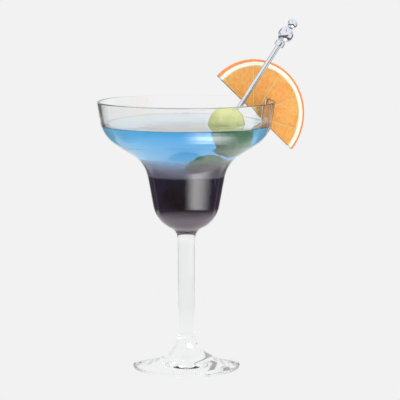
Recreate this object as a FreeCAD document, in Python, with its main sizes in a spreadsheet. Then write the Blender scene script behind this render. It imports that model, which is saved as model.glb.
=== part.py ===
"""A layered cocktail in a margarita glass, with three olives on a steel pick and half an orange wheel.

The glass stands on z = 0 with its axis on Z. The pick leans in the XZ plane, with its point on the wall of
the well and its middle olive against the throat. The orange wheel hangs on the rim by its slit, in an
upright plane through the axis. Lengths are in millimetres and angles in degrees.
"""
import FreeCAD, Part
import math
import os
import Sketcher

SIZES = [
    # name, number, what it measures
    ("rim_radius", 57.0, "outside of the rim"),
    ("side_rise", 22.3, "shoulder to rim"),
    ("side_spread", 3.7, "how much wider the rim is than the shoulder"),
    ("shoulder_round", 20.8, "rounding between flare and side, outside"),
    ("flare_rise", 16.8, "throat to shoulder"),
    ("throat_radius", 26.4, "corner between well and flare, outside"),
    ("throat_round", 21.9, "its rounding, outside"),
    ("well_depth", 43.9, "underside of the bowl to the throat"),
    ("well_radius", 18.3, "corner at the bottom of the well, outside"),
    ("well_round", 19.5, "its rounding, outside"),
    ("side_wall", 1.5, "wall of the bowl, measured level"),
    ("flare_wall", 2.0, "wall of the flare, measured upright"),
    ("well_floor", 3.2, "glass under the drink, measured upright"),
    ("lip_round", 0.6, "rounding of the rim's two edges"),
    ("stem_length", 89.0, "table to the underside of the bowl"),
    ("stem_top_radius", 5.7, "stem where it meets the bowl"),
    ("stem_low_radius", 5.2, "stem where it meets the foot"),
    ("stem_flare", 8.0, "rounding between stem and bowl"),
    ("foot_radius", 34.4, "edge of the foot"),
    ("foot_edge", 2.0, "thickness of the foot at its edge"),
    ("foot_edge_round", 0.85, "rounding of the foot's edge"),
    ("foot_peak", 9.6, "height where the foot's slope would meet the stem"),
    ("foot_sweep", 18.0, "rounding between foot and stem"),
    ("foot_ring", 27.0, "inner radius of the ring that the foot rests on"),
    ("foot_hollow", 1.4, "depth of the hollow under the foot"),
    ("fill_below_rim", 15.0, "rim to the surface of the drink"),
    ("blue_depth", 16.0, "blue layer"),
    ("blend_depth", 16.0, "clouded layer"),
    ("pick_length", 151.6, "whole pick"),
    ("pick_radius", 1.55, "shaft of the pick"),
    ("pick_tip_across", 12.05, "point of the pick from the glass's axis, level"),
    ("pick_seat", 0.4, "middle of the point to the wall of the well"),
    ("point_radius", 0.3, "blunt end of the point"),
    ("point_length", 7.0, "taper of the point"),
    ("collar_low_radius", 3.0, "lower end of the collar under the bead"),
    ("collar_top_radius", 3.1, "upper end of the collar"),
    ("collar_length", 4.1, "collar along the pick"),
    ("bead_radius", 4.9, "oval bead"),
    ("bead_half_length", 5.5, "oval bead along the pick, from its middle"),
    ("ball_radius", 3.2, "ball at the end"),
    ("bead_merge", 0.7, "how far collar, bead and ball run into each other"),
    ("olive_top_radius", 12.3, "olive at the surface"),
    ("olive_middle_radius", 12.65, "olive in the throat"),
    ("olive_bottom_radius", 12.2, "olive in the well"),
    ("olive_middle_place", 45.45, "its middle from the point, along the pick"),
    ("olive_seat", 0.36, "middle olive to the throat"),
    ("olive_longer", 0.1, "how much longer half an olive is than its radius"),
    ("wheel_turn", 22.0, "angle of the wheel's plane from XZ"),
    ("wheel_inward", 10.64, "rim to the middle of the wheel, level"),
    ("wheel_down", 10.22, "rim to the middle of the wheel, upright"),
    ("wheel_radius", 35.93, "outside of the rind"),
    ("wheel_short", 1.8, "middle of the wheel to its straight cut"),
    ("wheel_cut_lean", 43.1, "slope of the straight cut"),
    ("wheel_thickness", 3.0, "thickness of the slice"),
    ("wheel_edge_round", 0.5, "rounding of the rind's edges"),
    ("slit_clearance", 0.7, "each side of the slit to the glass"),
    ("slit_seat", 0.3, "end of the slit to the rim"),
    ("overlap", 6.0, "how far a tool reaches past what it cuts"),
    ("fillet_share", 0.45, "most of a wall's thickness that a rounding takes"),
]

# Sketcher's own numbers for a sketch's axes and for the points of a piece of geometry
ACROSS_AXIS, UP_AXIS = -1, -2
START, END, MIDDLE = 1, 2, 3


class Size:
    """A number with the formula behind it, so that what is worked out from it stays tied to the sheet."""

    def __init__(self, number, formula):
        self.number = number
        self.formula = formula

    def _with(self, sign, other, number):
        formula = other.formula if isinstance(other, Size) else str(other)
        return Size(number, f"({self.formula} {sign} {formula})")

    def __add__(self, other):
        return self._with("+", other, self.number + plain(other))

    def __sub__(self, other):
        return self._with("-", other, self.number - plain(other))

    def __mul__(self, other):
        return self._with("*", other, self.number * plain(other))

    def __truediv__(self, other):
        return self._with("/", other, self.number / plain(other))

    def limited(self, other):
        """This size, or the other one if that is less."""
        return Size(min(self.number, other.number), f"min({self.formula}; {other.formula})")

    def arctangent(self):
        """The angle in degrees."""
        return Size(math.degrees(math.atan(self.number)), f"atan({self.formula})")


def plain(value):
    """The bare number of a Size or of a number."""
    return value.number if isinstance(value, Size) else value


class Sheet:
    """The driving sizes, one spreadsheet cell each: size.rim_radius is that cell's Size."""

    def __init__(self, rows):
        self.sheet = doc.addObject("Spreadsheet::Sheet", "Sizes")
        for row, (name, number, meaning) in enumerate(rows, start=1):
            self.sheet.set(f"A{row}", meaning)
            self.sheet.set(f"B{row}", str(number))
            self.sheet.setAlias(f"B{row}", name)
        doc.recompute()

    def __getattr__(self, name):
        return Size(float(self.sheet.get(name)), f"Sizes.{name}")


doc = FreeCAD.newDocument("Margarita")
size = Sheet(SIZES)

shoulder_radius = size.rim_radius - size.side_spread
throat_height = size.stem_length + size.well_depth
shoulder_height = throat_height + size.flare_rise
glass_height = shoulder_height + size.side_rise
well_bottom = size.stem_length + size.well_floor


# --- Helpers: primitives and bodies ---


def bind(thing, path, value):
    """Ties a property to the formula of a Size."""
    thing.setExpression(path, value.formula)


def primitive(kind, name, **sizes):
    """A Part primitive with its dimensions tied to the sheet."""
    thing = doc.addObject(f"Part::{kind}", name)
    for dimension, value in sizes.items():
        bind(thing, dimension, value)
    return thing


def tilt(thing, axis, angle):
    """Turns a thing about one of the document's axes."""
    thing.Placement.Rotation = FreeCAD.Rotation(FreeCAD.Vector(axis), angle.number)
    bind(thing, "Placement.Rotation.Angle", angle)


def cut(thing, tool, name):
    result = doc.addObject("Part::Cut", name)
    result.Base = thing
    result.Tool = tool
    result.Label = name
    return result


def new_body(name):
    body = doc.addObject("PartDesign::Body", name)
    body.Label = name
    return body


def feature(body, kind, name, **sizes):
    """A PartDesign feature with its dimensions tied to the sheet."""
    thing = body.newObject(f"PartDesign::{kind}", name)
    for dimension, value in sizes.items():
        bind(thing, dimension, value)
    return thing


def turned(body, kind, name, sketch):
    """Turns a sketch a full circle about the Z axis: a Revolution adds, a Groove cuts."""
    thing = feature(body, kind, name)
    thing.Profile = sketch
    thing.ReferenceAxis = (sketch, ["V_Axis"])
    thing.Angle = 360
    doc.recompute()


def both_ways(body, kind, name, sketch, length):
    """A Pad or Pocket that reaches as far to each side of its sketch."""
    thing = feature(body, kind, name, Length=length)
    thing.Profile = sketch
    thing.Midplane = True
    doc.recompute()


def fillet(body, name, edges, radius):
    base = body.Tip
    thing = feature(body, "Fillet", name, Radius=radius)
    thing.Base = (base, edges)
    doc.recompute()


def ring(body, across, up):
    """Name of the edge round the Z axis that lies nearest to a radius and a height."""
    seams = {}
    for number, edge in enumerate(body.Tip.Shape.Edges, start=1):
        if edge.isClosed() and len(edge.Vertexes) == 1:
            seam = edge.Vertexes[0].Point
            seams[f"Edge{number}"] = (math.hypot(seam.x, seam.y), seam.z)
    return min(seams, key=lambda name: math.dist(seams[name], (plain(across), plain(up))))


# --- Helpers: sketches ---


def new_sketch(body, name):
    """An empty sketch on the body's own XZ plane: its x runs along X, its y along Z."""
    sketch = body.newObject("Sketcher::SketchObject", name)
    plane = [item for item in body.Origin.OriginFeatures if item.Role == "XZ_Plane"][0]
    sketch.AttachmentSupport = [(plane, "")]
    sketch.MapMode = "FlatFace"
    return sketch


def tie(sketch, kind, *what):
    return sketch.addConstraint(Sketcher.Constraint(kind, *what))


def dimension(sketch, kind, *what):
    """A constraint whose last item is a Size."""
    row = tie(sketch, kind, *what[:-1], what[-1].number)
    bind(sketch, f"Constraints[{row}]", what[-1])


def pin(sketch, geometry, point, across, up):
    """Holds a point at a place taken from the sheet; 0 puts it on the axis."""
    if across == 0:
        tie(sketch, "PointOnObject", geometry, point, UP_AXIS)
    else:
        dimension(sketch, "DistanceX", ACROSS_AXIS, START, geometry, point, across)
    if up == 0:
        tie(sketch, "PointOnObject", geometry, point, ACROSS_AXIS)
    else:
        dimension(sketch, "DistanceY", ACROSS_AXIS, START, geometry, point, up)


def rounding(before, corner, after, radius):
    """The tangent arc of this radius at a corner, and its two ends in the outline's order."""
    back = (before - corner).normalize()
    ahead = (after - corner).normalize()
    half = back.getAngle(ahead) / 2
    start = corner + back * (radius / math.tan(half))
    end = corner + ahead * (radius / math.tan(half))
    middle = corner + (back + ahead).normalize() * (radius / math.sin(half))
    angles = [math.atan2(spot.y - middle.y, spot.x - middle.x) for spot in (start, end)]
    if back.cross(ahead).z > 0:
        angles.reverse()
    return Part.ArcOfCircle(Part.Circle(middle, FreeCAD.Vector(0, 0, 1), radius), *angles), start, end


def outline(body, name, corners):
    """A closed sketch of straight runs. A corner is (across, up, rounding), and 0 leaves it sharp."""
    sketch = new_sketch(body, name)
    spots = [FreeCAD.Vector(plain(across), plain(up), 0) for across, up, _ in corners]
    after = spots[1:] + spots[:1]
    arrives = list(spots)
    leaves = list(spots)
    arcs = {}
    for i, (_, _, radius) in enumerate(corners):
        if radius:
            arcs[i], arrives[i], leaves[i] = rounding(spots[i - 1], spots[i], after[i], radius.number)
    ends = arrives[1:] + arrives[:1]
    runs = [sketch.addGeometry(Part.LineSegment(*pair), False) for pair in zip(leaves, ends)]
    for i, (across, up, radius) in enumerate(corners):
        if not radius:
            tie(sketch, "Coincident", runs[i - 1], END, runs[i], START)
            pin(sketch, runs[i], START, across, up)
            continue
        corner = sketch.addGeometry(Part.Point(spots[i]), True)
        arc = sketch.addGeometry(arcs[i], False)
        opens_back = sketch.Geometry[arc].StartPoint.distanceToPoint(arrives[i]) < radius.number / 100
        first, last = (START, END) if opens_back else (END, START)
        pin(sketch, corner, START, across, up)
        tie(sketch, "PointOnObject", corner, START, runs[i - 1])
        tie(sketch, "PointOnObject", corner, START, runs[i])
        tie(sketch, "Tangent", runs[i - 1], END, arc, first)
        tie(sketch, "Tangent", arc, last, runs[i], START)
        dimension(sketch, "Radius", arc, radius)
    return sketch


# --- The glass, and the space in its bowl ---


def inside_outline(body, name):
    """Inside of the bowl, and the free space over it."""
    wall = size.side_wall
    above = glass_height + size.overlap
    return outline(body, name, [
        (0, well_bottom, 0),
        (size.well_radius - wall, well_bottom, size.well_round - wall),
        (size.throat_radius - wall, throat_height + size.flare_wall, size.throat_round + wall),
        (shoulder_radius - wall, shoulder_height + size.flare_wall, size.shoulder_round - wall),
        (size.rim_radius - wall, glass_height, 0),
        (size.rim_radius - wall, above, 0),
        (0, above, 0),
    ])


def make_glass():
    """Foot, stem and bowl in one piece of clear glass."""
    body = new_body("glass")
    foot_and_stem = outline(body, "foot_and_stem", [
        (0, size.foot_hollow, 0),
        (size.foot_ring, 0, 0),
        (size.foot_radius, 0, 0),
        (size.foot_radius, size.foot_edge, 0),
        (size.stem_low_radius, size.foot_peak, size.foot_sweep),
        (size.stem_top_radius, well_bottom, 0),
        (0, well_bottom, 0),
    ])
    turned(body, "Revolution", "stem", foot_and_stem)
    foot_edges = [ring(body, size.foot_radius, up) for up in (0, size.foot_edge)]
    fillet(body, "foot_edge", foot_edges, size.foot_edge_round.limited(size.foot_edge * size.fillet_share))
    bowl_outside = outline(body, "bowl_outside", [
        (0, size.stem_length, 0),
        (size.well_radius, size.stem_length, size.well_round),
        (size.throat_radius, throat_height, size.throat_round),
        (shoulder_radius, shoulder_height, size.shoulder_round),
        (size.rim_radius, glass_height, 0),
        (0, glass_height, 0),
    ])
    turned(body, "Revolution", "bowl", bowl_outside)
    fillet(body, "stem_to_bowl", [ring(body, size.stem_top_radius, size.stem_length)], size.stem_flare)
    turned(body, "Groove", "inside", inside_outline(body, "bowl_inside"))
    rim_inside = size.rim_radius - size.side_wall
    lip_edges = [ring(body, across, glass_height) for across in (rim_inside, size.rim_radius)]
    fillet(body, "lip", lip_edges, size.lip_round.limited(size.side_wall * size.fillet_share))
    return body


def seat_pick(sketch):
    """Lays the pick's axis into the outline of the bowl's inside, from its point to its middle olive.

    The point rests on the well's rounding, on the far side of the glass's axis, so its seat is found on this
    side and mirrored. The middle olive lies against the throat's rounding. Returns the height of the point,
    and how far the middle olive's middle lies across and up from it.
    """
    well, throat = [i for i, item in enumerate(sketch.Geometry) if item.TypeId == "Part::GeomArcOfCircle"][:2]
    upright = FreeCAD.Vector(0, 0, 1)
    guess = FreeCAD.Vector(size.pick_tip_across.number, (well_bottom + size.well_round / 2).number, 0)
    point = FreeCAD.Vector(-guess.x, guess.y, 0)
    middle = FreeCAD.Vector(size.pick_tip_across.number, throat_height.number, 0)
    reach = size.olive_middle_radius + size.olive_seat
    seat = sketch.addGeometry(Part.Circle(guess, upright, size.pick_seat.number), True)
    axis = sketch.addGeometry(Part.LineSegment(point, middle), True)
    olive = sketch.addGeometry(Part.Circle(middle, upright, reach.number), True)
    dimension(sketch, "Radius", seat, size.pick_seat)
    dimension(sketch, "DistanceX", ACROSS_AXIS, START, seat, MIDDLE, size.pick_tip_across)
    tie(sketch, "Tangent", seat, well)
    tie(sketch, "Symmetric", seat, MIDDLE, axis, START, UP_AXIS)
    dimension(sketch, "Distance", axis, size.olive_middle_place)
    tie(sketch, "Coincident", axis, END, olive, MIDDLE)
    dimension(sketch, "Radius", olive, reach)
    tie(sketch, "Tangent", olive, throat)
    readings = {
        "point_height": tie(sketch, "DistanceY", ACROSS_AXIS, START, axis, START, point.y),
        "olive_across": tie(sketch, "DistanceX", axis, START, axis, END, middle.x - point.x),
        "olive_up": tie(sketch, "DistanceY", axis, START, axis, END, middle.y - point.y),
    }
    for name, row in readings.items():
        sketch.renameConstraint(row, name)
        sketch.setDriving(row, False)
    doc.recompute()
    formula = f"({sketch.Name}.Constraints.%s / 1 mm)"
    return [Size(sketch.getDatum(name).Value, formula % name) for name in readings]


def make_space():
    """The space in the bowl as a solid, with the pick laid into its outline."""
    body = new_body("bowl_space")
    sketch = inside_outline(body, "space_outline")
    seating = seat_pick(sketch)
    turned(body, "Revolution", "space", sketch)
    return body, seating


# --- The pick and its olives ---


def on_pick(thing, seating, distance):
    """Puts a thing on the pick's axis at a distance from the point, leaned over with it."""
    point_height, olive_across, olive_up = seating
    share = distance / size.olive_middle_place
    bind(thing, "Placement.Base.x", olive_across * share - size.pick_tip_across)
    bind(thing, "Placement.Base.z", olive_up * share + point_height)
    tilt(thing, (0, 1, 0), (olive_across / olive_up).arctangent())


def make_pick(seating):
    """Steel pick: a point, a straight shaft, a collar, an oval bead and a ball."""
    ball_middle = size.pick_length - size.ball_radius
    bead_middle = ball_middle - size.ball_radius + size.bead_merge - size.bead_half_length
    collar_start = bead_middle - size.bead_half_length + size.bead_merge - size.collar_length
    point = primitive("Cone", "pick_point", Radius1=size.point_radius, Radius2=size.pick_radius,
                      Height=size.point_length)
    shaft = primitive("Cylinder", "pick_shaft", Radius=size.pick_radius,
                      Height=bead_middle - size.point_length)
    collar = primitive("Cone", "pick_collar", Radius1=size.collar_low_radius, Radius2=size.collar_top_radius,
                       Height=size.collar_length)
    bead = primitive("Ellipsoid", "pick_bead", Radius1=size.bead_half_length, Radius2=size.bead_radius,
                     Radius3=size.bead_radius)
    ball = primitive("Sphere", "pick_ball", Radius=size.ball_radius)
    on_pick(point, seating, size.point_length * 0)
    on_pick(shaft, seating, size.point_length)
    on_pick(collar, seating, collar_start)
    on_pick(bead, seating, bead_middle)
    on_pick(ball, seating, ball_middle)
    pick = doc.addObject("Part::MultiFuse", "cocktail_pick")
    pick.Shapes = [point, shaft, collar, bead, ball]
    pick.Refine = True
    pick.Label = "cocktail_pick"
    return pick


def make_olives(seating, pick):
    """Three olives that touch in a row on the pick, each as a whole one and as one with the pick's hole."""
    half_top, half_middle, half_bottom = (
        radius + size.olive_longer
        for radius in (size.olive_top_radius, size.olive_middle_radius, size.olive_bottom_radius)
    )
    middle = size.olive_middle_place
    row = [
        ("olive_top", size.olive_top_radius, half_top, middle + half_middle + half_top),
        ("olive_middle", size.olive_middle_radius, half_middle, middle),
        ("olive_bottom", size.olive_bottom_radius, half_bottom, middle - half_middle - half_bottom),
    ]
    wholes = []
    for name, radius, half, distance in row:
        whole = primitive("Ellipsoid", f"{name}_whole", Radius1=half, Radius2=radius, Radius3=radius)
        on_pick(whole, seating, distance)
        wholes.append(whole)
    return wholes, [cut(whole, pick, name) for whole, (name, *_) in zip(wholes, row)]


# --- The orange ---


def half_wheel(body):
    """Half a disc whose straight side slopes down to the outside."""
    sketch = new_sketch(body, "half_wheel")
    across = size.rim_radius - size.wheel_inward
    up = glass_height - size.wheel_down
    lean = math.radians(size.wheel_cut_lean.number)
    opening = math.acos(size.wheel_short.number / size.wheel_radius.number)
    outward = math.pi / 2 - lean
    middle = FreeCAD.Vector(across.number, up.number, 0)
    circle = Part.Circle(middle, FreeCAD.Vector(0, 0, 1), size.wheel_radius.number)
    rind = sketch.addGeometry(Part.ArcOfCircle(circle, outward - opening, outward + opening), False)
    arc = sketch.Geometry[rind]
    straight = sketch.addGeometry(Part.LineSegment(arc.EndPoint, arc.StartPoint), False)
    tie(sketch, "Coincident", rind, END, straight, START)
    tie(sketch, "Coincident", rind, START, straight, END)
    pin(sketch, rind, MIDDLE, across, up)
    dimension(sketch, "Radius", rind, size.wheel_radius)
    dimension(sketch, "Distance", rind, MIDDLE, straight, size.wheel_short)
    slope = tie(sketch, "Angle", straight, -lean)
    sketch.setExpression(f"Constraints[{slope}]", f"-{size.wheel_cut_lean.formula} * 1 deg")
    return sketch


def slit_outline(body):
    """A slit that follows the bowl's side from just over the rim, and opens at the straight cut."""
    lean_in = size.side_spread / size.side_rise * size.wheel_radius
    outer = size.rim_radius + size.slit_clearance
    inner = size.rim_radius - size.side_wall - size.slit_clearance
    top = glass_height + size.slit_seat
    low = glass_height - size.wheel_radius
    return outline(body, "slit_outline", [
        (inner - lean_in, low, 0),
        (outer - lean_in, low, 0),
        (outer, top, 0),
        (inner, top, 0),
    ])


def make_wheel():
    """Half a wheel of orange, slit from its straight cut so that it hangs on the rim."""
    body = new_body("orange_slice")
    both_ways(body, "Pad", "wheel", half_wheel(body), size.wheel_thickness)
    rind_edges = [f"Edge{number}" for number, edge in enumerate(body.Tip.Shape.Edges, start=1)
                  if edge.Curve.TypeId == "Part::GeomCircle"]
    rind_round = size.wheel_edge_round.limited(size.wheel_thickness * size.fillet_share)
    fillet(body, "rind_round", rind_edges, rind_round)
    both_ways(body, "Pocket", "slit", slit_outline(body), size.wheel_thickness + size.overlap)
    tilt(body, (0, 0, 1), size.wheel_turn)
    return body


# --- The drink ---


def make_drink(space, garnish):
    """The drink in three level layers, each cut from the bowl's space round what stands in it."""
    surface = glass_height - size.fill_below_rim
    blue_bottom = surface - size.blue_depth
    blend_bottom = blue_bottom - size.blend_depth
    levels = [
        ("drink_dark", size.stem_length, blend_bottom),
        ("drink_blend", blend_bottom, blue_bottom),
        ("drink_blue", blue_bottom, surface),
    ]
    layers = []
    for name, low, high in levels:
        slab = primitive("Cylinder", f"{name}_slab", Radius=size.rim_radius + size.overlap, Height=high - low)
        bind(slab, "Placement.Base.z", low)
        layer = doc.addObject("Part::Common", f"{name}_filled")
        layer.Base = space
        layer.Tool = slab
        for number, thing in enumerate(garnish):
            layer = cut(layer, thing, f"{name}_round_{number}")
        layer.Label = name
        layers.append(layer)
    return layers


def check(parts):
    """Stops if anything in the document failed, or a sub-part is empty, broken or in pieces."""
    failed = [item.Name for item in doc.Objects if {"Invalid", "Error"} & set(item.State)]
    if failed:
        raise RuntimeError(f"these objects failed: {failed}")
    for part in parts:
        if part.Shape.isNull() or not part.Shape.isValid() or len(part.Shape.Solids) != 1:
            raise RuntimeError(f"{part.Label} is not one good solid")


glass = make_glass()
space, seating = make_space()
pick = make_pick(seating)
whole_olives, olives = make_olives(seating, pick)
wheel = make_wheel()
drink = make_drink(space, [pick, wheel, *whole_olives])
doc.recompute()

parts = [glass, *drink, *olives, pick, wheel]
check(parts)
os.makedirs("parts", exist_ok=True)
for part in parts:
    part.Shape.exportStep(f"parts/{part.Label}.step")
    print(f"{part.Label}: {part.Shape.Volume / 1000:.2f} cm3")
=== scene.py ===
# %% [markdown]
# # A layered cocktail in a margarita glass
#
# A margarita glass has a wide, shallow bowl over a narrow well, on a drawn stem and a thin foot. This one
# holds a drink in three layers, from clear blue to dark aubergine, with three green olives on a steel
# pick and half a wheel of orange slit onto the rim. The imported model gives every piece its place. Here
# each piece is modelled again with smooth curves and fine detail, and gets its finish.

# %% Load the frame
import bpy
import math
import random

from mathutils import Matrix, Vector


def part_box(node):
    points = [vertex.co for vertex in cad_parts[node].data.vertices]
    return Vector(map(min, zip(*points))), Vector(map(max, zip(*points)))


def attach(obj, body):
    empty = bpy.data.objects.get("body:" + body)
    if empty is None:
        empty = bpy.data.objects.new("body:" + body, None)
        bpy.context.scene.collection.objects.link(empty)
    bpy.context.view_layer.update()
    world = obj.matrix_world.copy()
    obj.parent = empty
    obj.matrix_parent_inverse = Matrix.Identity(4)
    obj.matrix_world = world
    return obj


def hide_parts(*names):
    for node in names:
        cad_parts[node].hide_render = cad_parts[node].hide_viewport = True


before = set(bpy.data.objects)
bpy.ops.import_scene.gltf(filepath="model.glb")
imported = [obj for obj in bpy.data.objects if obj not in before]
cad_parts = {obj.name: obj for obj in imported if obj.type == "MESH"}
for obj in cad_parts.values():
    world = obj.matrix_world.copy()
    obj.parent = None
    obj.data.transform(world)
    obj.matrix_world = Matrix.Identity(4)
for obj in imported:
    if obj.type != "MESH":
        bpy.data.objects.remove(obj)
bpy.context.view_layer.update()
mm = 0.001

# %% [markdown]
# ## Sums in a material
#
# A pattern such as the rings of an orange slice is a sum on coordinates: a distance, an angle, a mask. In
# Blender each step of that sum is a Math node. Drawing them by hand is slow to read, so a small class
# stands for a node's output, and Python's own operators add the Math nodes behind it.

# %% Value: an output socket that can be used in a sum


class Value:
    """One output of a node. An operator on it adds a Math node and gives that node's output."""

    def __init__(self, tree, socket):
        self.tree = tree
        self.socket = socket

    def math(self, operation, *others):
        sockets = dict(enumerate([self, *others]))
        return self.tree.node("Math", {"operation": operation}, sockets)

    def __add__(self, other):
        return self.math("ADD", other)

    def __sub__(self, other):
        return self.math("SUBTRACT", other)

    def __rsub__(self, other):
        return (self * -1).math("ADD", other)

    def __mul__(self, other):
        return self.math("MULTIPLY", other)

    def __truediv__(self, other):
        return self.math("DIVIDE", other)

    def __pow__(self, other):
        return self.math("POWER", other)

    __rmul__ = __mul__

    def between(self, low, high):
        """0 below the low value, 1 above the high one, and a soft step from one to the other."""
        ends = {"From Min": low, "From Max": high}
        return self.tree.node("MapRange", {"interpolation_type": "SMOOTHSTEP"}, {"Value": self, **ends})


class Tree:
    """A node tree with one method that adds any node."""

    def __init__(self, nodes):
        self.tree = nodes
        self.tree.nodes.clear()

    def node(self, kind, settings=None, sockets=None, output=0):
        """Adds a node. Settings come first, then the values or links of its sockets."""
        added = self.tree.nodes.new(f"ShaderNode{kind}")
        for name, value in (settings or {}).items():
            if name == "stops":
                self.set_stops(added.color_ramp, value)
            else:
                setattr(added, name, value)
        for name, value in (sockets or {}).items():
            if isinstance(value, Value):
                self.tree.links.new(value.socket, added.inputs[name])
            else:
                added.inputs[name].default_value = value
        return Value(self, added.outputs[output])

    @staticmethod
    def set_stops(ramp, stops):
        while len(ramp.elements) < len(stops):
            ramp.elements.new(1)
        for element, (place, colour) in zip(ramp.elements, stops):
            element.position = place
            element.color = (*colour, 1)

    def mix(self, factor, first, second):
        """Mixes two colours, each a Value or three numbers."""
        colours = {6: first, 7: second}
        filled = {i: v if isinstance(v, Value) else (*v, 1) for i, v in colours.items()}
        return self.node("Mix", {"data_type": "RGBA"}, {0: factor, **filled}, output=2)

    def place(self, turn=(0, 0, 0), middle=(0, 0, 0), scale=(1, 1, 1)):
        """Object coordinates, measured from a middle, turned and scaled, in metres."""
        here = self.node("TexCoord", output="Object")
        moved = self.node("VectorMath", {"operation": "SUBTRACT"}, {0: here, 1: middle})
        sockets = {"Vector": moved, "Rotation": turn, "Scale": scale}
        return self.node("Mapping", {"vector_type": "POINT"}, sockets)

    def split(self, vector):
        return [self.node("SeparateXYZ", None, {0: vector}, output=axis) for axis in ("X", "Y", "Z")]


class Finish(Tree):
    """A material that is built from nodes and ends in one shader."""

    def __init__(self, name):
        self.material = bpy.data.materials.new(name)
        self.material.use_nodes = True
        super().__init__(self.material.node_tree)

    def bump(self, height, strength, distance):
        return self.node("Bump", None, {"Height": height, "Strength": strength, "Distance": distance})

    def surface(self, **sockets):
        """The Principled shader. A socket's name is written with _ for each space."""
        named = {name.replace("_", " "): value for name, value in sockets.items()}
        return self.node("BsdfPrincipled", None, named)

    def finish(self, shader, volume=None):
        ends = {"Surface": shader}
        if volume is not None:
            ends["Volume"] = volume
        output = self.tree.nodes.new("ShaderNodeOutputMaterial")
        for name, value in ends.items():
            self.tree.links.new(value.socket, output.inputs[name])
        print("finish:", self.material.name, len(self.tree.nodes), "nodes")
        return self.material


# %% [markdown]
# ## Outlines with rounded corners
#
# Glass is drawn on a lathe or in a mould, so its section is straight runs with round corners. An outline
# lists only the corners, each with its rounding, and the arcs are worked out: the arc touches both runs,
# and its middle lies on the line that halves the corner.

# %% Rounded outlines
ARC_STEP = math.radians(5)


def rounded(corners):
    """Points of an open outline in millimetres.

    A corner is (across, up, rounding), and a rounding of 0 leaves it sharp.
    """
    spots = [Vector((across, up)) for across, up, _ in corners]
    points = []
    for i, (_, _, radius) in enumerate(corners):
        if not radius:
            points.append(spots[i])
            continue
        back = (spots[i - 1] - spots[i]).normalized()
        ahead = (spots[(i + 1) % len(spots)] - spots[i]).normalized()
        half = back.angle(ahead) / 2
        middle = spots[i] + (back + ahead).normalized() * (radius / math.sin(half))
        start = spots[i] + back * (radius / math.tan(half)) - middle
        end = spots[i] + ahead * (radius / math.tan(half)) - middle
        turn = start.angle_signed(end)
        steps = max(2, round(abs(turn) / ARC_STEP))
        for step in range(steps + 1):
            angle = -turn * step / steps
            across = start.x * math.cos(angle) - start.y * math.sin(angle)
            up = start.x * math.sin(angle) + start.y * math.cos(angle)
            points.append(middle + Vector((across, up)))
    return points


# %% [markdown]
# ## Turning an outline
#
# A plane is merged to one point, the point is extruded along the outline, and Spin turns that line round
# the upright axis, as a lathe would. The doubles where the turn closes are merged, and the normals are
# made to point outwards.

# %% Modelling helpers
LATHE_STEPS = 144
MERGE = 0.002 * mm


def alone():
    """Leaves edit mode and clears the selection, so that the next operator acts on its own piece."""
    if bpy.context.object and bpy.context.object.mode == "EDIT":
        bpy.ops.object.mode_set(mode="OBJECT")
    bpy.ops.object.select_all(action="DESELECT")


def take(piece):
    """Selects one piece alone and makes it the active one."""
    alone()
    piece.select_set(True)
    bpy.context.view_layer.objects.active = piece


def start_line(name, points):
    """A new mesh that starts as one point and is extruded along the others. It is left in edit mode."""
    alone()
    bpy.ops.mesh.primitive_plane_add(size=mm)
    piece = bpy.context.object
    piece.name = name
    bpy.ops.object.mode_set(mode="EDIT")
    bpy.ops.mesh.merge(type="CENTER")
    bpy.ops.transform.translate(value=points[0])
    for here, there in zip(points, points[1:]):
        bpy.ops.mesh.extrude_region_move(TRANSFORM_OT_translate={"value": there - here})
    return piece


def upright(points):
    """Outline points as places in the XZ plane, in metres."""
    return [Vector((point.x, 0, point.y)) * mm for point in points]


def lathe(name, points, steps=LATHE_STEPS):
    """Turns an outline round the Z axis into a closed skin."""
    piece = start_line(name, upright(points))
    bpy.ops.mesh.select_all(action="SELECT")
    bpy.ops.mesh.spin(steps=steps, angle=math.tau, center=(0, 0, 0), axis=(0, 0, 1))
    bpy.ops.mesh.select_all(action="SELECT")
    bpy.ops.mesh.remove_doubles(threshold=MERGE)
    bpy.ops.mesh.normals_make_consistent(inside=False)
    bpy.ops.object.mode_set(mode="OBJECT")
    return piece


def smooth(piece, angle):
    """Smooth shading, except across edges sharper than the angle in degrees."""
    take(piece)
    bpy.ops.object.shade_smooth_by_angle(angle=math.radians(angle))


def apply_place(piece):
    """Writes an object's own place and turn into its mesh."""
    take(piece)
    bpy.ops.object.transform_apply(location=True, rotation=True, scale=True)


def apply_modifier(piece, kind, name, **settings):
    """Adds a modifier and applies it at once."""
    take(piece)
    modifier = piece.modifiers.new(name, kind)
    for setting, value in settings.items():
        setattr(modifier, setting, value)
    bpy.ops.object.modifier_apply(modifier=name)


def hand_over(piece, slot, material, *nodes):
    """Gives a piece its material and its body, and hides the nodes that it stands for. The slot is not
    used.
    """
    piece.data.materials.clear()
    piece.data.materials.append(material)
    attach(piece, "root")
    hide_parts(*nodes)
    print(f"{piece.name}: {len(piece.data.polygons)} faces")


# %% [markdown]
# ## The glass
#
# The section starts under the foot, goes out along the ring that the glass stands on, up the slope of the
# foot, along the stem, round the outside of well and bowl, over the lip and back down the inside. Foot,
# stem and bowl are one mesh, because on a drawn stem the glass runs through without a seam.

# %% Sizes of the glass, in millimetres; a corner is across, up and rounding
rim_radius = 57.0
rim_height = 172.0
side_wall = 1.5
lip_round = 0.6
shoulder = (53.3, 149.7, 20.8)
throat = (26.4, 132.9, 21.9)
well = (18.3, 89.0, 19.5)
flare_wall = 2.0
well_bottom = 92.2
stem_top = (5.7, 88.7, 8.0)
well_side = (19.43, 95.1, 19.5)
stem_low = (5.2, 9.6, 18.0)
foot_radius = 34.4
foot_edge = 2.0
foot_edge_round = 0.85
foot_ring = 27.0
foot_ring_round = 0.8
foot_hollow = 1.4


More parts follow.
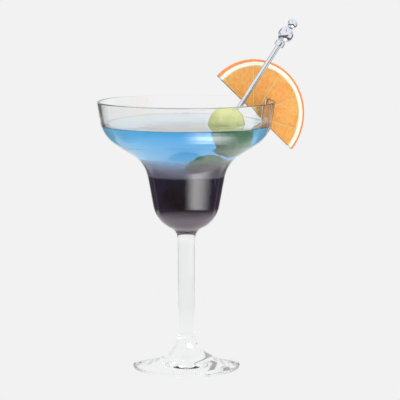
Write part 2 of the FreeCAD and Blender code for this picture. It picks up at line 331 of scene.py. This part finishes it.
def inside_corners(grow=0):
    """Corners of the bowl's inside, up to the shoulder. A grown outline lies that far into the wall."""
    return [
        (0, well_bottom - grow, 0),
        (well[0] - side_wall + grow, well_bottom - grow, well[2] - side_wall + grow),
        (throat[0] - side_wall + grow, throat[1] + flare_wall - grow, throat[2] + side_wall - grow),
        (shoulder[0] - side_wall + grow, shoulder[1] + flare_wall - grow, shoulder[2] - side_wall + grow),
    ]


# %% Turn the glass
outside_corners = [
    (0, foot_hollow, 0),
    (foot_ring, 0, foot_ring_round),
    (foot_radius, 0, foot_edge_round),
    (foot_radius, foot_edge, foot_edge_round),
    stem_low,
    stem_top,
    well_side,
    throat,
    shoulder,
    (rim_radius, rim_height, lip_round),
    (rim_radius - side_wall, rim_height, lip_round),
]
glass_outline = rounded(outside_corners + inside_corners()[::-1])
glass = lathe("stemmed_glass", glass_outline)
smooth(glass, angle=60)
print("glass outline:", len(glass_outline), "points")

# %% [markdown]
# ### Clear glass
#
# Glass has no colour of its own. It shows by what it bends and reflects, so the shader is Principled with
# full transmission, an index of 1.5 and almost no roughness. A breath of green-grey varies over the
# surface, as thickness does in a pressed or drawn glass.

# %% Clear glass
clear = Finish("clear glass")
waves = clear.node("TexNoise", None, {"Vector": clear.place(), "Scale": 30, "Detail": 1})
tint = clear.mix(waves.between(0.3, 0.7), (0.985, 0.992, 0.992), (0.997, 0.998, 0.998))
clear_shader = clear.surface(Base_Color=tint, Transmission_Weight=1, Roughness=0.0, IOR=1.5)
hand_over(glass, "clear_glass", clear.finish(clear_shader), "glass")

# %% [markdown]
# ## The drink
#
# Liquid fills its glass with no gap. If its skin stopped at the wall, a film of air would show as a
# silver line, so the skin lies a little inside the wall. At the top it climbs the glass in a small
# meniscus. The olives and the pick stand inside it, because light then bends once at the liquid's skin
# and goes on to them.

# %% Turn the drink
surface_height = 157.0
meniscus_rise = 0.35
meniscus_top = 0.25
meniscus_foot = 0.35
meniscus_round = 0.48
meniscus_run = 3.5
into_wall = 0.12
side_lean = (rim_radius - shoulder[0]) / (rim_height - shoulder[1])


def bowl_radius(height):
    """Inside radius of the bowl's round shoulder at a height."""
    points = rounded(inside_corners() + [(rim_radius - side_wall, rim_height, 0)])
    for low, high in zip(points, points[1:]):
        if low.y <= height <= high.y:
            return low.x + (high.x - low.x) * (height - low.y) / (high.y - low.y)
    raise ValueError(f"the bowl has no side at height {height}")


wall_top = surface_height + meniscus_rise
wall_radius = bowl_radius(wall_top) + into_wall
grown = rounded(inside_corners(into_wall) + [(rim_radius - side_wall + into_wall, rim_height, 0)])
drink_outline = [point for point in grown if point.y < wall_top]
drink_outline.append(Vector((wall_radius, wall_top)))
meniscus = rounded([
    (wall_radius - meniscus_top, wall_top, 0),
    (wall_radius - meniscus_foot, surface_height, meniscus_round),
    (wall_radius - meniscus_run, surface_height, 0),
])
drink_outline += meniscus + [Vector((0, surface_height))]
drink = lathe("layered_drink", drink_outline)
smooth(drink, angle=60)

# %% [markdown]
# ### Three layers of liquid
#
# The blue comes from the liquid itself: the deeper the view goes, the stronger it is. So it is an
# absorbing volume, and thin places stay pale. Lower down the liquid is clouded, so a matt shader joins in
# and scatters light back: first whitish, then lavender grey. From a sharp line on it is dark aubergine and
# clearer again. At the bottom it turns paler and partly matt: painted light from the pale floor. The flat
# top is a stronger mirror than the sides, which lie against glass.

# %% Heights in the drink, in millimetres, and how much of its top is mirror
DARK_BELOW = 124.2
DARK_ENDS = 125.4
CLOUDS_BELOW = 125
CLOUDS_END = 144
PAINTED_FLOOR_LIGHT_BELOW = 98
PAINTED_FLOOR_LIGHT_ENDS = 106
DRIFT = 3
MIRROR_SHARE = 0.4

# %% Layered drink
liquid = Finish("layered liquid")
_, _, height = liquid.split(liquid.place())
drift = liquid.node("TexNoise", None, {"Vector": liquid.place(), "Scale": 45, "Detail": 2})
level_height = height / mm + (drift - 0.5) * DRIFT
level = (level_height - well_bottom) / (surface_height - well_bottom)


def stops_at(*rows):
    """Colour stops given by their height in millimetres, as shares of the drink's height."""
    return [((up - well_bottom) / (surface_height - well_bottom), colour) for up, colour in rows]


# The lowest stops of both tints are paler than the dark above them: painted light from the pale floor.
layer_tint = liquid.node("ValToRGB", {"stops": stops_at(
    (95.0, (0.12, 0.07, 0.11)),
    (104.0, (0.040, 0.018, 0.034)),
    (DARK_BELOW, (0.042, 0.018, 0.042)),
    (DARK_ENDS, (0.22, 0.20, 0.27)),
    (132.0, (0.46, 0.45, 0.57)),
    (140.0, (0.84, 0.92, 0.97)),
    (147.0, (0.88, 0.97, 1.0)),
)}, {"Fac": level})
cloud_tint = liquid.node("ValToRGB", {"stops": stops_at(
    (98.0, (0.42, 0.33, 0.39)),
    (105.0, (0.09, 0.03, 0.07)),
    (DARK_BELOW, (0.07, 0.025, 0.075)),
    (DARK_ENDS, (0.36, 0.32, 0.40)),
    (130.0, (0.42, 0.37, 0.46)),
    (135.5, (0.78, 0.68, 0.74)),
    (140.0, (0.90, 0.91, 0.94)),
)}, {"Fac": level})
clouded_share = (1 - level_height.between(CLOUDS_BELOW, CLOUDS_END)) * 0.66
clear_dark = (1 - level_height.between(DARK_BELOW, DARK_ENDS)) * 0.46
# Painted light from the pale floor: a paler matt share in the bottom of the well.
painted_floor_light_share = (1 - level_height.between(PAINTED_FLOOR_LIGHT_BELOW, PAINTED_FLOOR_LIGHT_ENDS)) * 0.4
matt_share = clouded_share - clear_dark + painted_floor_light_share
clear_liquid = liquid.surface(Base_Color=layer_tint, Transmission_Weight=1, Roughness=0.0, IOR=1.15)
clouded = liquid.surface(Base_Color=cloud_tint, Roughness=0.6, Specular_IOR_Level=0)
sides = liquid.node("MixShader", None, {0: matt_share, 1: clear_liquid, 2: clouded})
still_water = liquid.surface(Base_Color=(0.95, 0.99, 1.0, 1), Transmission_Weight=1, Roughness=0.0,
                             IOR=1.45)
sheen = liquid.surface(Base_Color=(0.96, 1.0, 1.0, 1), Metallic=1, Roughness=0.02)
water_top = liquid.node("MixShader", None, {0: MIRROR_SHARE, 1: still_water, 2: sheen})
top_mask = (height / mm).between(surface_height - 0.06, surface_height - 0.02)
liquid_shader = liquid.node("MixShader", None, {0: top_mask, 1: sides, 2: water_top})
blue_depth = liquid.node("VolumeAbsorption", None, {"Color": (0.10, 0.70, 0.958, 1), "Density": 26})
drink_finish = liquid.finish(liquid_shader, blue_depth)
hand_over(drink, "blue_drink", drink_finish, "drink_blue", "drink_blend", "drink_dark")

# %% [markdown]
# ## The pick
#
# A steel cocktail pick is turned from rod: a point, a long shaft, a collar, an oval bead and a ball. Its
# outline is turned upright at the origin, then leaned over and moved to its place, and that place is
# written into the mesh.

# %% Where the pick lies
olive_names = ("olive_top", "olive_middle", "olive_bottom")
olive_middles = {name: (Vector(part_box(name)[0]) + Vector(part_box(name)[1])) / 2 for name in olive_names}
pick_way = (olive_middles["olive_top"] - olive_middles["olive_bottom"]).normalized()
pick_lean = math.atan2(pick_way.x, pick_way.z)
pick_length = 151.6
point_from_middle = 45.45
pick_point = olive_middles["olive_middle"] - pick_way * point_from_middle * mm
print("pick leans", round(math.degrees(pick_lean), 2), "degrees")
print("pick starts at", [round(c / mm, 2) for c in pick_point])


def on_pick(piece):
    """Moves a piece that was made upright at the origin onto the pick's axis."""
    piece.rotation_euler = (0, pick_lean, 0)
    piece.location = pick_point
    apply_place(piece)


def oval(radius, half_length, middle, first, last, steps=16):
    """Points of an oval's outline, from one angle in degrees to another, counted from its lower end."""
    points = []
    for step in range(steps + 1):
        angle = math.radians(first + (last - first) * step / steps)
        points.append(Vector((radius * math.sin(angle), middle - half_length * math.cos(angle))))
    return points


# %% Turn the pick
tip_radius = 0.3
tip_round = 0.1
tip_length = 7.0
taper_round = 12
shaft_radius = 1.55
ball_radius = 3.2
bead_radius = 4.9
bead_half = 5.5
bead_merge = 0.7
bead_starts = 32
bead_ends = 156
ball_starts = 32
collar_length = 4.1
collar_low_radius = 3.0
collar_top_radius = 3.1
collar_neck_radius = 2.3
collar_round = 0.35
collar_gap = 0.7
ball_middle = pick_length - ball_radius
bead_middle = ball_middle - ball_radius + bead_merge - bead_half
collar_start = bead_middle - bead_half + bead_merge - collar_length
pick_outline = [Vector((0, 0))] + rounded([
    (tip_radius, 0, tip_round),
    (shaft_radius, tip_length, taper_round),
    (shaft_radius, collar_start, 0),
])
pick_outline += rounded([
    (shaft_radius, collar_start, 0),
    (collar_low_radius, collar_start, collar_round),
    (collar_top_radius, collar_start + collar_length - collar_gap, collar_round),
    (collar_neck_radius, collar_start + collar_length - collar_gap + 0.1, 0),
])[1:]
pick_outline += oval(bead_radius, bead_half, bead_middle, bead_starts, bead_ends)
pick_outline += oval(ball_radius, ball_radius, ball_middle, ball_starts, 180)
pick = lathe("steel_pick", pick_outline, steps=48)
on_pick(pick)
smooth(pick, angle=30)

# %% [markdown]
# ### Polished steel
#
# Polished steel is a mirror with a slight grey-blue. Polishing leaves fine marks round the shaft, which
# stretch each highlight along it, so the roughness varies in thin rings.

# %% Polished steel
steel = Finish("polished steel")
along = steel.place(turn=(0, -pick_lean, 0), scale=(60, 60, 2400))
marks = steel.node("TexNoise", None, {"Vector": along, "Scale": 1, "Detail": 2})
smears = steel.node("TexNoise", None, {"Vector": steel.place(), "Scale": 260, "Detail": 2})
steel_grey = steel.mix(smears, (0.78, 0.84, 0.91), (0.91, 0.94, 0.98))
steel_shader = steel.surface(Base_Color=steel_grey, Metallic=1, Roughness=marks * 0.05 + 0.02,
                             Normal=steel.bump(marks, 0.04, 0.05 * mm))
hand_over(pick, "polished_steel", steel.finish(steel_shader), "cocktail_pick")

# %% [markdown]
# ## The olives
#
# An olive is never quite round. Each starts as a sphere whose poles lie on the pick, and is made a bit
# longer, lopsided and dented at the ends, where the stone was pushed out and the pick goes through.

# %% Model the olives
DENT_RADIUS = 2.6
DENT_DEPTH = 1.1
EGG_SHARE = 0.035
LONGER_BY = 0.1


def make_olive(name, seed, radius, half):
    """An olive on the pick, modelled upright and then leaned over with it. Half is half its length."""
    alone()
    bpy.ops.mesh.primitive_uv_sphere_add(segments=64, ring_count=40, radius=radius * mm)
    olive = bpy.context.object
    olive.name = f"{name}_flesh"
    draw = random.Random(seed)
    lobes = [(draw.uniform(0, math.tau), draw.uniform(0.004, 0.012)) for _ in range(4)]
    for vertex in olive.data.vertices:
        spot = vertex.co / mm
        across = math.hypot(spot.x, spot.y)
        angle = math.atan2(spot.y, spot.x)
        swell = 1 - sum(depth for _, depth in lobes)
        swell += sum(depth * math.cos((i + 1) * angle + phase) for i, (phase, depth) in enumerate(lobes))
        egg = 1 - EGG_SHARE * spot.z / radius
        dent = DENT_DEPTH * math.exp(-(across / DENT_RADIUS) ** 2)
        up = spot.z * half / radius
        up -= math.copysign(dent, up)
        vertex.co = Vector((spot.x * swell * egg, spot.y * swell * egg, up)) * mm
    olive.rotation_euler = (0, pick_lean, 0)
    olive.location = olive_middles[name]
    apply_place(olive)
    smooth(olive, angle=80)
    return olive


olive_radii = {"olive_top": 12.3, "olive_middle": 12.65, "olive_bottom": 12.2}
olives = {}
for seed, (name, radius) in enumerate(olive_radii.items(), start=3):
    olives[name] = make_olive(name, seed, radius, radius + LONGER_BY)

# %% [markdown]
# ### Olive skin
#
# A pickled green olive is yellow-green and a little glassy. Its skin has soft clouds of lighter and
# darker green, many pale pin-sized specks, and a wet shine. Above the drink its colour is made paler, as
# painted light. Light goes some way into the flesh, so the shader has a little subsurface scattering.

# %% Olive skin
skin = Finish("green olive")
clouds = skin.node("TexNoise", None, {"Vector": skin.place(), "Scale": 110, "Detail": 3})
specks = skin.node("TexVoronoi", {"feature": "F1"}, {"Vector": skin.place(), "Scale": 700},
                   output="Distance")
speck_mask = 1 - specks.between(0.10, 0.24)
skin_green = skin.mix(clouds.between(0.3, 0.7), (0.32, 0.39, 0.085), (0.54, 0.58, 0.18))
_, _, skin_height = skin.split(skin.place())
# Painted light: the skin is paler where it stands above the drink.
painted_light_above_drink = (skin_height / mm).between(surface_height - 2, surface_height + 3)
skin_green = skin.mix(painted_light_above_drink * 0.45, skin_green, (0.86, 0.86, 0.42))
skin_colour = skin.mix(speck_mask * 0.35, skin_green, (0.80, 0.79, 0.42))
pores = skin.node("TexNoise", None, {"Vector": skin.place(), "Scale": 900, "Detail": 2})
skin_bump = skin.bump(pores * 0.4 + clouds, 0.25, 0.3 * mm)
skin_shader = skin.surface(Base_Color=skin_colour, Roughness=clouds * 0.15 + 0.2, Normal=skin_bump,
                           Subsurface_Weight=0.25, Subsurface_Radius=(0.004, 0.004, 0.0015),
                           Subsurface_Scale=1.0, Coat_Weight=0.4, Coat_Roughness=0.08)
olive_finish = skin.finish(skin_shader)
for name, olive in olives.items():
    hand_over(olive, "olive_flesh", olive_finish, name)

# %% [markdown]
# ## The half wheel of orange
#
# A wheel of orange has a thin coloured rind, white pith, and ten or so segments round a white core, each
# in its own thin skin. The slice is made as a whole wheel and then cut as a cook would: straight across,
# and with a slit for the rim of the glass. It is modelled in the XZ plane and turned round the glass last.

# %% Sizes of the orange, in millimetres
wheel_inward = 10.64
wheel_down = 10.22
wheel_middle = Vector((rim_radius - wheel_inward, 0, rim_height - wheel_down))
wheel_turn = math.radians(22)
wheel_radius = 35.93
wheel_thickness = 3.0
rind = 1.4
pith = 3.0
core_radius = 2.6
cut_lean = math.radians(43.1)
cut_short = 1.8
slit_clearance = 0.7
slit_seat = 0.3
peel_edge = 0.5
segment_edge = 0.35
segment_sunk = 0.15
membrane_sunk = 0.25
membrane_edge = 0.05
sharp_edge = 0.01
chance = random.Random(11)


def round_wheel(points):
    """Points given as (radius, angle) round the wheel's middle, as places in metres."""
    return [(wheel_middle + Vector((r * math.cos(a), 0, r * math.sin(a)))) * mm for r, a in points]


def slab(name, points, thickness, edge):
    """A flat closed shape of the wheel's plane, as thick each way, with its edges rounded."""
    piece = start_line(name, points + points[:1])
    bpy.ops.mesh.select_all(action="SELECT")
    bpy.ops.mesh.remove_doubles(threshold=MERGE)
    bpy.ops.mesh.edge_face_add()
    bpy.ops.transform.translate(value=(0, -thickness / 2 * mm, 0))
    bpy.ops.mesh.extrude_region_move(TRANSFORM_OT_translate={"value": (0, thickness * mm, 0)})
    bpy.ops.mesh.select_all(action="SELECT")
    bpy.ops.mesh.normals_make_consistent(inside=False)
    bpy.ops.object.mode_set(mode="OBJECT")
    apply_modifier(piece, "BEVEL", "edge", width=edge * mm, segments=3, limit_method="ANGLE",
                   angle_limit=math.radians(60))
    return piece


# %% Peel: a ring of rind and pith
WHEEL_POINTS = 120
pith_inside = wheel_radius - rind - pith
wheel_angles = [math.tau * i / WHEEL_POINTS for i in range(WHEEL_POINTS)]


def pith_edge(angle):
    """Radius of the wavy line where the pith meets the flesh."""
    return pith_inside + 0.35 * math.sin(5 * angle) + 0.3 * math.sin(13 * angle + 1)


def cut_with(piece, tool):
    """Takes the tool's shape out of a piece."""
    apply_modifier(piece, "BOOLEAN", "cut", operation="DIFFERENCE", solver="EXACT", object=tool)


peel_line = round_wheel([(wheel_radius, a) for a in wheel_angles])
peel = slab("orange_peel", peel_line, wheel_thickness, peel_edge)
pith_line = round_wheel([(pith_edge(a), a) for a in wheel_angles])
cutter = slab("pith_cutter", pith_line, wheel_thickness * 2, sharp_edge)
cut_with(peel, cutter)
bpy.data.objects.remove(cutter)

# %% Segments and the skins between them
SEGMENTS = 10
flesh_radius = pith_inside + 0.35
skin_between = 0.22
first_edge = 0.35
shares = [chance.uniform(0.85, 1.15) for _ in range(SEGMENTS)]
edges = [math.tau * sum(shares[:i]) / sum(shares) + first_edge for i in range(SEGMENTS + 1)]
segments = []
for first, last in zip(edges, edges[1:]):
    outer = flesh_radius - chance.uniform(0.0, 0.5)
    inner = core_radius + chance.uniform(0.2, 1.0)
    far = skin_between / 2 / outer
    near = skin_between / 2 / inner
    arc = [(outer, first + far + (last - first - 2 * far) * i / 10) for i in range(11)]
    ends = [(inner, last - near), (inner, first + near)]
    thickness = wheel_thickness - segment_sunk + chance.uniform(0, 0.12)
    segments.append(slab("segment", round_wheel(arc + ends), thickness, segment_edge))
membrane_line = round_wheel([(flesh_radius + 0.3, a) for a in wheel_angles])
membrane = slab("orange_membranes", membrane_line, wheel_thickness - membrane_sunk, membrane_edge)
alone()
for wedge in segments:
    wedge.select_set(True)
bpy.context.view_layer.objects.active = segments[0]
bpy.ops.object.join()
flesh = segments[0]
flesh.name = "orange_segments"

# %% Cut the wheel straight across, and slit it for the rim


def slit_shape():
    """The slit's corners. It follows the bowl's side, and ends just over the rim."""
    run = side_lean * wheel_radius
    inner = rim_radius - side_wall - slit_clearance
    outer = rim_radius + slit_clearance
    corners = [
        (inner - run, rim_height - wheel_radius),
        (outer - run, rim_height - wheel_radius),
        (outer, rim_height + slit_seat),
        (inner, rim_height + slit_seat),
    ]
    return [Vector((across, 0, up)) * mm for across, up in corners]


slit = slab("slit", slit_shape(), wheel_thickness * 2, sharp_edge)
cut_normal = Vector((math.sin(cut_lean), 0, math.cos(cut_lean)))
cut_place = (wheel_middle + cut_normal * cut_short) * mm
for piece in (peel, flesh, membrane):
    take(piece)
    bpy.ops.object.mode_set(mode="EDIT")
    bpy.ops.mesh.select_all(action="SELECT")
    bpy.ops.mesh.bisect(plane_co=cut_place, plane_no=cut_normal, use_fill=True, clear_inner=True)
    bpy.ops.object.mode_set(mode="OBJECT")
    cut_with(piece, slit)
    piece.rotation_euler = (0, 0, wheel_turn)
    apply_place(piece)
    smooth(piece, angle=35)
    print(piece.name, len(piece.data.polygons), "faces after the cuts")
bpy.data.objects.remove(slit)

# %% [markdown]
# ### Rind, pith and juice
#
# All three finishes are worked out round the wheel's middle: a point's distance from it and its angle.
# The rind is orange and pitted, the pith is off-white with a warm edge where the juice has soaked in, and
# the flesh has long sacs of juice that point to the core.

# %% Coordinates round the wheel


def wheel_places(finish):
    """Distance from the wheel's middle, angle, and depth through the slice, in millimetres and radians."""
    turned_middle = Vector((wheel_middle.x * math.cos(wheel_turn), wheel_middle.x * math.sin(wheel_turn),
                            wheel_middle.z)) * mm
    local = finish.place(turn=(0, 0, -wheel_turn), middle=turned_middle, scale=(1 / mm, 1 / mm, 1 / mm))
    across, depth, up = finish.split(local)
    distance = (across ** 2 + up ** 2) ** 0.5
    angle = up.math("ARCTAN2", across)
    return distance, angle, depth


# %% Rind and pith
zest = Finish("orange peel")
distance, _, _ = wheel_places(zest)
grain = zest.node("TexNoise", None, {"Vector": zest.place(), "Scale": 500, "Detail": 3})
pits = zest.node("TexVoronoi", {"feature": "F1"}, {"Vector": zest.place(), "Scale": 900},
                 output="Distance")
ragged = zest.node("TexNoise", None, {"Vector": zest.place(), "Scale": 300, "Detail": 2})
edge_place = distance + (ragged - 0.5) * 0.5
rind_mask = edge_place.between(wheel_radius - rind - 0.25, wheel_radius - rind + 0.15)
soaked = 1 - edge_place.between(pith_inside, pith_inside + 0.9)
pith_colour = zest.mix(grain, (0.86, 0.90, 0.74), (0.92, 0.95, 0.84))
pith_colour = zest.mix(soaked * 0.8, pith_colour, (0.86, 0.52, 0.14))
rind_colour = zest.mix(pits.between(0.1, 0.5), (0.84, 0.22, 0.030), (0.90, 0.29, 0.060))
peel_colour = zest.mix(rind_mask, pith_colour, rind_colour)
peel_bump = zest.bump(pits.between(0, 0.5) * rind_mask + grain * 0.3, 0.4, 0.3 * mm)
peel_shader = zest.surface(Base_Color=peel_colour, Roughness=0.55 - rind_mask * 0.15, Normal=peel_bump,
                           Subsurface_Weight=0.15, Subsurface_Radius=(0.0012, 0.0008, 0.0005),
                           Subsurface_Scale=1.0)
hand_over(peel, "orange_flesh", zest.finish(peel_shader), "orange_slice")

# %% Juice sacs
juice = Finish("orange flesh")
distance, angle, depth = wheel_places(juice)
sac_place = juice.node("CombineXYZ", None, {"X": angle * 9, "Y": distance * 0.22, "Z": depth * 0.35})
sac_cells = {"Vector": sac_place, "Scale": 1.6}
sacs = juice.node("TexVoronoi", {"feature": "SMOOTH_F1"}, sac_cells, output="Distance")
sac_walls = juice.node("TexVoronoi", {"feature": "DISTANCE_TO_EDGE"}, sac_cells)
patches = juice.node("TexNoise", None, {"Vector": juice.place(), "Scale": 70, "Detail": 2})
sac_colour = juice.mix(sacs.between(0.1, 0.7), (0.86, 0.325, 0.036), (0.89, 0.41, 0.078))
sac_colour = juice.mix(patches.between(0.45, 0.75) * 0.6, sac_colour, (0.89, 0.50, 0.11))
wall_mask = 1 - sac_walls.between(0.0, 0.09)
juice_colour = juice.mix(wall_mask * 0.3, sac_colour, (0.92, 0.60, 0.24))
juice_bump = juice.bump(sac_walls.between(0, 0.25), 0.35, 0.35 * mm)
juice_shader = juice.surface(Base_Color=juice_colour, Roughness=0.38 - patches * 0.1, Normal=juice_bump,
                             Subsurface_Weight=0.3, Subsurface_Radius=(0.004, 0.002, 0.0006),
                             Subsurface_Scale=1.0, Coat_Weight=0.25, Coat_Roughness=0.15)
hand_over(flesh, "orange_flesh", juice.finish(juice_shader), "orange_slice")

# %% Skins between the segments
thin_skin = Finish("orange membranes")
fibres = thin_skin.node("TexNoise", None, {"Vector": thin_skin.place(), "Scale": 400, "Detail": 2})
skin_tone = thin_skin.mix(fibres, (0.94, 0.50, 0.14), (0.95, 0.60, 0.24))
membrane_shader = thin_skin.surface(Base_Color=skin_tone, Roughness=0.45,
                                    Normal=thin_skin.bump(fibres, 0.3, 0.2 * mm),
                                    Subsurface_Weight=0.3, Subsurface_Radius=(0.003, 0.002, 0.001),
                                    Subsurface_Scale=1.0)
hand_over(membrane, "orange_flesh", thin_skin.finish(membrane_shader), "orange_slice")

# %% [markdown]
# ## The studio
#
# Clear glass is shown against white: the light comes through it from a bright backdrop, and dark areas at
# the sides draw its edges. Polished steel needs dark strips to mirror, or it would vanish against white:
# one stands behind at the left, and one hangs high in front. A soft panel at the right front and a bright
# ceiling light what is matt. Each of them reaches only the kind of light path that it is meant for, as
# one would shade a lamp off the glass. Angles are in degrees, and distances in metres.

# %% Kinds of light path
WHITE = 0.887
SIDE_SHADE = 0.4
STRIP_SHADE = 0.9
FLOOR_SHADE = 0.75
PANEL_LIGHT = 1.15
CEILING_LIGHT = 0.5
CARD_LIGHT = 7.0


def past(value, first, last):
    """0 up to the first angle and 1 from the last one on, for a value in radians."""
    return value.between(math.radians(first), math.radians(last))


def band(value, first, last, soft):
    """1 between two angles, and soft at both ends, for a value in radians."""
    return past(value, first, first + soft) * (1 - past(value, last - soft, last))


def path_kinds(tree):
    """Masks for a path straight from the camera, for one that met no matt surface, and for a mirrored one.

    A path that has crossed more than four skins of glass and liquid no longer counts as mirrored.
    """
    straight = tree.node("LightPath", output="Is Camera Ray")
    polished = tree.node("LightPath", output="Is Glossy Ray")
    scattered = tree.node("LightPath", output="Diffuse Depth").math("MINIMUM", 1)
    reflected = tree.node("LightPath", output="Glossy Depth").math("MINIMUM", 1)
    shallow = 1 - tree.node("LightPath", output="Transmission Depth").between(4.2, 4.8)
    unscattered = polished * (1 - scattered)
    return straight, unscattered, unscattered * reflected * shallow


# %% World
world = bpy.data.worlds.new("studio")
bpy.context.scene.world = world
world.use_nodes = True
studio = Tree(world.node_tree)
east, north, up = studio.split(studio.node("TexCoord", output="Generated"))
straight, unscattered, mirrored = path_kinds(studio)
bearing = east.math("ARCTAN2", north * -1)
rise = up.math("ARCSINE")
dark_side = east.math("ABSOLUTE").between(0.9, 0.97)
left_strip = band(bearing, -152, -110, 6) * band(rise, 2, 45, 8) * 0.8
high_strip = band(bearing, -6, 9, 3) * band(rise, 30, 75, 8)
strips = (left_strip + high_strip) * mirrored
room = WHITE * (1 - dark_side * SIDE_SHADE) * (1 - strips * STRIP_SHADE)
panel = band(bearing, 16, 70, 6) * band(rise, -12, 56, 6)
ceiling = up.between(0.5, 0.8)
lamps = (panel * PANEL_LIGHT + ceiling * CEILING_LIGHT) * (1 - unscattered)
lit = room + lamps
brightness = lit + straight * (WHITE - lit)
background = studio.node("Background", None, {"Color": (1, 1, 1, 1), "Strength": brightness})
world_output = studio.tree.nodes.new("ShaderNodeOutputWorld")
studio.tree.links.new(background.socket, world_output.inputs["Surface"])

# %% [markdown]
# The floor is a plain pale sheet that glows as brightly as the backdrop, so the two meet with no line.
# What is polished mirrors it darker in front and at the sides behind, apart from a bright field at the
# right. A small bright card hangs at the right front, just under the well. Only mirrored light meets it,
# and it gives the well its upright grey highlight.

# %% Floor


def polar(aside, ahead):
    """Distance from the glass's axis, and bearing from straight in front, growing to the right."""
    return (aside ** 2 + ahead ** 2) ** 0.5, aside.math("ARCTAN2", ahead * -1)


FLOOR_HEIGHT = -0.4 * mm
alone()
bpy.ops.mesh.primitive_plane_add(size=3, location=(0, 0, FLOOR_HEIGHT))
floor = bpy.context.object
floor.name = "floor"
sheet = Finish("pale floor")
aside, ahead, _ = sheet.split(sheet.place())
reach, around = polar(aside, ahead)
_, _, mirrored = path_kinds(sheet)
either_way = around.math("ABSOLUTE")
far_front = (1 - past(around, 38, 46)) * reach.between(0.37, 0.42)
bright_field = band(around, 24, 104, 5) * reach.between(0.31, 0.34) * (1 - far_front)
dim_front = (1 - past(either_way, 112, 126)) * reach.between(0.12, 0.19)
dim_back = band(either_way, 118, 160, 6) * reach.between(0.27, 0.31)
dim = (dim_front * (1 - bright_field) + dim_back).math("MINIMUM", 1)
floor_light = WHITE - mirrored * dim * FLOOR_SHADE
glow = sheet.node("Emission", None, {"Color": (1, 1, 1, 1), "Strength": floor_light})
floor.data.materials.append(sheet.finish(glow))

# %% Card
alone()
bpy.ops.mesh.primitive_plane_add(size=0.15, location=(0.065, -0.06, 0.08))
card = bpy.context.object
card.name = "card"
apply_place(card)
paper = Finish("bright card")
aside, ahead, _ = paper.split(paper.place())
reach, around = polar(aside, ahead)
_, _, mirrored = path_kinds(paper)
sector = past(around, -8, 28) * (1 - past(around, 26, 88))
ring = reach.between(0.058, 0.066) * (1 - reach.between(0.112, 0.118))
shown = sector * ring * mirrored
bright = paper.node("Emission", None, {"Color": (1, 1, 1, 1), "Strength": CARD_LIGHT})
nothing = paper.node("BsdfTransparent")
card.data.materials.append(paper.finish(paper.node("MixShader", None, {0: shown, 1: nothing, 2: bright})))

# %% Camera
look_down = 7.368
lens = bpy.data.cameras.new("camera")
lens.lens = 170.03
lens.sensor_width = 36
camera = bpy.data.objects.new("camera", lens)
camera.location = (0.00875, -1.2, 0.26375)
camera.rotation_euler = (math.radians(90 - look_down), 0, 0)
scene = bpy.context.scene
bpy.context.collection.objects.link(camera)
scene.camera = camera

# %% [markdown]
# A path through the full glass crosses many skins, so light paths are long. Caustics are on, because most
# light on olives and pick comes through glass or liquid.

# %% Light paths and colours
scene.view_settings.view_transform = "Standard"
scene.cycles.max_bounces = 24
scene.cycles.transmission_bounces = 24
scene.cycles.glossy_bounces = 12
scene.cycles.caustics_reflective = True
scene.cycles.caustics_refractive = True
